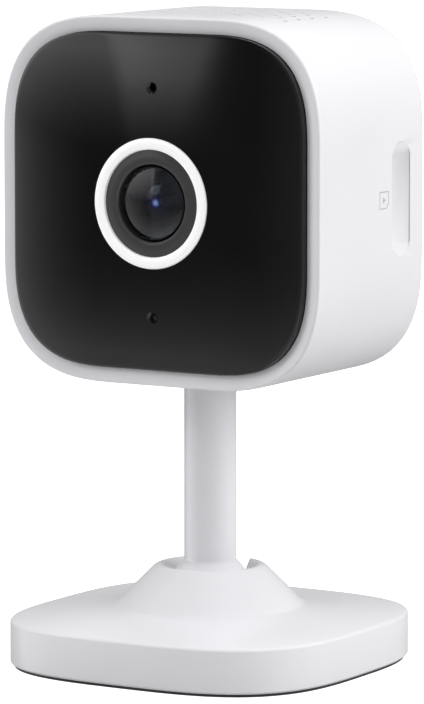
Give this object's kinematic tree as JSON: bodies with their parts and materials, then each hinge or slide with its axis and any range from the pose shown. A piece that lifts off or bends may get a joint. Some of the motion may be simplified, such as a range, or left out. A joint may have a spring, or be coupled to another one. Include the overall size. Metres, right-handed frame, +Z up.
{
  "type": "indoor security camera",
  "caption": "Square-headed indoor camera with a domed black front and round lens, on a slim stem whose ball foot tilts in a low weighted square base.",
  "frame": {"origin": "on the floor under the stem, at the centre of the base", "axes": "+Z up, the lens looks along -Y, +X is the side with the card slot"},
  "size_m": [0.058, 0.057, 0.104],
  "materials": {
    "white_shell": "smooth glossy moulded white plastic",
    "white_trim": "bright white moulded ring",
    "black_acrylic": "polished black acrylic that passes infrared light",
    "grey_ring": "satin dark grey moulded ring",
    "lens_black": "matt black lens barrel",
    "coated_glass": "polished coated lens glass",
    "red_filter": "dark red infrared cut filter",
    "clear_glass": "clear glass",
    "black_plastic": "black moulded plastic",
    "plated_steel": "plated pressed steel",
    "sensor_glass": "sensor cover glass",
    "circuit_board": "green solder mask on fibreglass board",
    "emitter_lens": "dark epoxy emitter",
    "black_rubber": "soft matt black rubber",
    "clear_resin": "clear resin",
    "thermal_pad": "soft blue-grey silicone",
    "aluminium": "extruded aluminium",
    "copper_flex": "amber flexible circuit",
    "speaker_paper": "coated paper cone",
    "liner_plastic": "natural slippery plastic",
    "weight_steel": "pressed zinc-plated steel sheet"
  },
  "bodies": {
    "base": {"base_shell": "white_shell", "ball_retainer": "black_plastic", "weight_plate": "weight_steel", "base_plate": "black_plastic", "base_screw_1": "plated_steel", "base_screw_2": "plated_steel", "foot_pad": "black_rubber"},
    "liner": {"ball_liner": "liner_plastic"},
    "stem": {"stem_pole": "white_shell", "stem_ball": "white_shell", "swivel_washer": "plated_steel", "swivel_screw": "plated_steel"},
    "head": {"housing": "white_shell", "rear_cover": "white_shell", "lens_trim_ring": "white_trim", "front_panel": "black_acrylic", "lens_bezel": "grey_ring", "lens_barrel": "lens_black", "front_lens": "coated_glass", "middle_lens": "coated_glass", "rear_lens": "coated_glass", "lens_holder": "black_plastic", "inner_frame": "black_plastic", "image_sensor": "sensor_glass", "camera_board": "circuit_board", "led_board": "circuit_board", "main_board": "circuit_board", "board_connector": "black_plastic", "ir_led_1": "emitter_lens", "ir_led_2": "emitter_lens", "ir_led_3": "emitter_lens", "ir_led_4": "emitter_lens", "microphone": "plated_steel", "mic_gasket": "black_rubber", "light_sensor": "clear_resin", "soc_chip": "black_plastic", "thermal_pad": "thermal_pad", "heat_sink": "aluminium", "wifi_module": "plated_steel", "wifi_antenna": "copper_flex", "antenna_cable": "black_rubber", "card_socket": "plated_steel", "usb_socket": "plated_steel", "usb_tongue": "black_plastic", "reset_switch": "black_plastic", "speaker_body": "black_plastic", "speaker_cone": "speaker_paper", "speaker_gasket": "black_rubber", "cover_screw_1": "plated_steel", "cover_screw_2": "plated_steel", "board_screw_1": "plated_steel", "board_screw_2": "plated_steel", "swivel_bush": "liner_plastic"},
    "reset_button": {"reset_button": "white_shell"},
    "filter_changer": {"filter_carriage": "black_plastic", "ir_filter": "red_filter", "clear_filter": "clear_glass"}
  },
  "joints": [
    {"name": "side_lean", "type": "hinge", "parent": "base", "child": "liner", "pos_m": [0, 0, 0.0115], "axis": [-0.342, 0.9397, 0], "range_deg": [-12, 12]},
    {"name": "fore_aft_lean", "type": "hinge", "parent": "liner", "child": "stem", "pos_m": [0, 0, 0.0115], "axis": [0.9397, 0.342, 0], "range_deg": [-60, 18]},
    {"name": "head_swivel", "type": "hinge", "parent": "stem", "child": "head", "pos_m": [0, 0, 0.046], "axis": [0, 0, 1], "continuous": true},
    {"name": "reset_press", "type": "slide", "parent": "head", "child": "reset_button", "axis": [0, -1, 0], "range_m": [0, 0.0004], "stiffness_N_per_m": 500},
    {"name": "filter_change", "type": "slide", "parent": "head", "child": "filter_changer", "axis": [1, 0, 0], "range_m": [0, 0.0065]}
  ]
}
